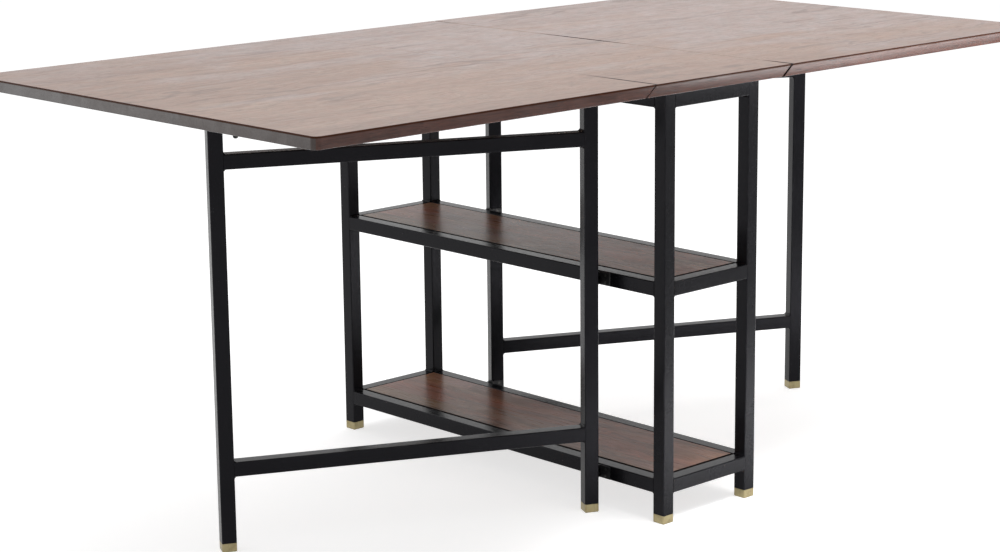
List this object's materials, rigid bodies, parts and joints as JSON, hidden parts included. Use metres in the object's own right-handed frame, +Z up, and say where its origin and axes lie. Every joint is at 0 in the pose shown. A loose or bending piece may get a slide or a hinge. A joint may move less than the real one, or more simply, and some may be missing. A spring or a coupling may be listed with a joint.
{
  "type": "gate-leg table",
  "caption": "Gate-leg table: a narrow steel frame with shelves under a fixed centre top, with hinged wooden leaves carried by swinging gates on brass-tipped legs.",
  "frame": {"origin": "on the floor under the middle of the open top", "axes": "+X along the open table's length, +Y across it, +Z up"},
  "size_m": [1.75, 0.91, 0.76],
  "materials": {
    "top_wood": "satin lacquered dark brown wood",
    "shelf_wood": "satin lacquered red-brown wood",
    "black_steel": "satin black powder coat",
    "hinge_steel": "blackened steel",
    "brass": "brushed brass",
    "rubber": "matt black rubber"
  },
  "bodies": {
    "frame": {"leg_left_front": "black_steel", "leg_left_back": "black_steel", "leg_right_front": "black_steel", "leg_right_back": "black_steel", "foot_left_front": "brass", "foot_left_back": "brass", "foot_right_front": "brass", "foot_right_back": "brass", "top_rail_left": "black_steel", "top_rail_right": "black_steel", "top_rail_front": "black_steel", "top_rail_back": "black_steel", "upper_shelf_rail_left": "black_steel", "upper_shelf_rail_right": "black_steel", "upper_shelf_rail_front": "black_steel", "upper_shelf_rail_back": "black_steel", "upper_shelf": "shelf_wood", "lower_shelf_rail_left": "black_steel", "lower_shelf_rail_right": "black_steel", "lower_shelf_rail_front": "black_steel", "lower_shelf_rail_back": "black_steel", "lower_shelf": "shelf_wood", "centre_top": "top_wood", "left_leaf_hinge_pivot_end_fixed_half": "hinge_steel", "left_leaf_hinge_leg_end_fixed_half": "hinge_steel", "right_leaf_hinge_pivot_end_fixed_half": "hinge_steel", "right_leaf_hinge_leg_end_fixed_half": "hinge_steel", "left_gate_upper_hinge_frame_half": "hinge_steel", "left_gate_upper_hinge_pin": "hinge_steel", "left_gate_lower_hinge_frame_half": "hinge_steel", "left_gate_lower_hinge_pin": "hinge_steel", "right_gate_upper_hinge_frame_half": "hinge_steel", "right_gate_upper_hinge_pin": "hinge_steel", "right_gate_lower_hinge_frame_half": "hinge_steel", "right_gate_lower_hinge_pin": "hinge_steel"},
    "left_gate": {"left_gate_hinge_post": "black_steel", "left_gate_hinge_post_foot": "brass", "left_gate_outer_leg": "black_steel", "left_gate_outer_leg_foot": "brass", "left_gate_top_rail": "black_steel", "left_gate_bottom_rail": "black_steel", "left_gate_upper_hinge_gate_half": "hinge_steel", "left_gate_lower_hinge_gate_half": "hinge_steel"},
    "right_gate": {"right_gate_hinge_post": "black_steel", "right_gate_hinge_post_foot": "brass", "right_gate_outer_leg": "black_steel", "right_gate_outer_leg_foot": "brass", "right_gate_top_rail": "black_steel", "right_gate_bottom_rail": "black_steel", "right_gate_upper_hinge_gate_half": "hinge_steel", "right_gate_lower_hinge_gate_half": "hinge_steel"},
    "left_leaf_body": {"left_leaf": "top_wood", "left_leaf_buffer": "rubber", "left_leaf_hinge_pivot_end_leaf_half": "hinge_steel", "left_leaf_hinge_leg_end_leaf_half": "hinge_steel"},
    "right_leaf_body": {"right_leaf": "top_wood", "right_leaf_buffer": "rubber", "right_leaf_hinge_pivot_end_leaf_half": "hinge_steel", "right_leaf_hinge_leg_end_leaf_half": "hinge_steel"}
  },
  "joints": [
    {"name": "left_gate_swing", "type": "hinge", "parent": "frame", "child": "left_gate", "pos_m": [-0.1228, -0.2641, 0.4055], "axis": [0, 0, 1], "range_deg": [-64.35, 0]},
    {"name": "right_gate_swing", "type": "hinge", "parent": "frame", "child": "right_gate", "pos_m": [0.1228, 0.2641, 0.4055], "axis": [0, 0, 1], "range_deg": [-64.35, 0]},
    {"name": "left_leaf_lift", "type": "hinge", "parent": "frame", "child": "left_leaf_body", "pos_m": [-0.199, 0, 0.7357], "axis": [0, 1, 0], "range_deg": [0, 1.5]},
    {"name": "right_leaf_lift", "type": "hinge", "parent": "frame", "child": "right_leaf_body", "pos_m": [0.13475, 0, 0.7357], "axis": [0, -1, 0], "range_deg": [0, 3]}
  ]
}
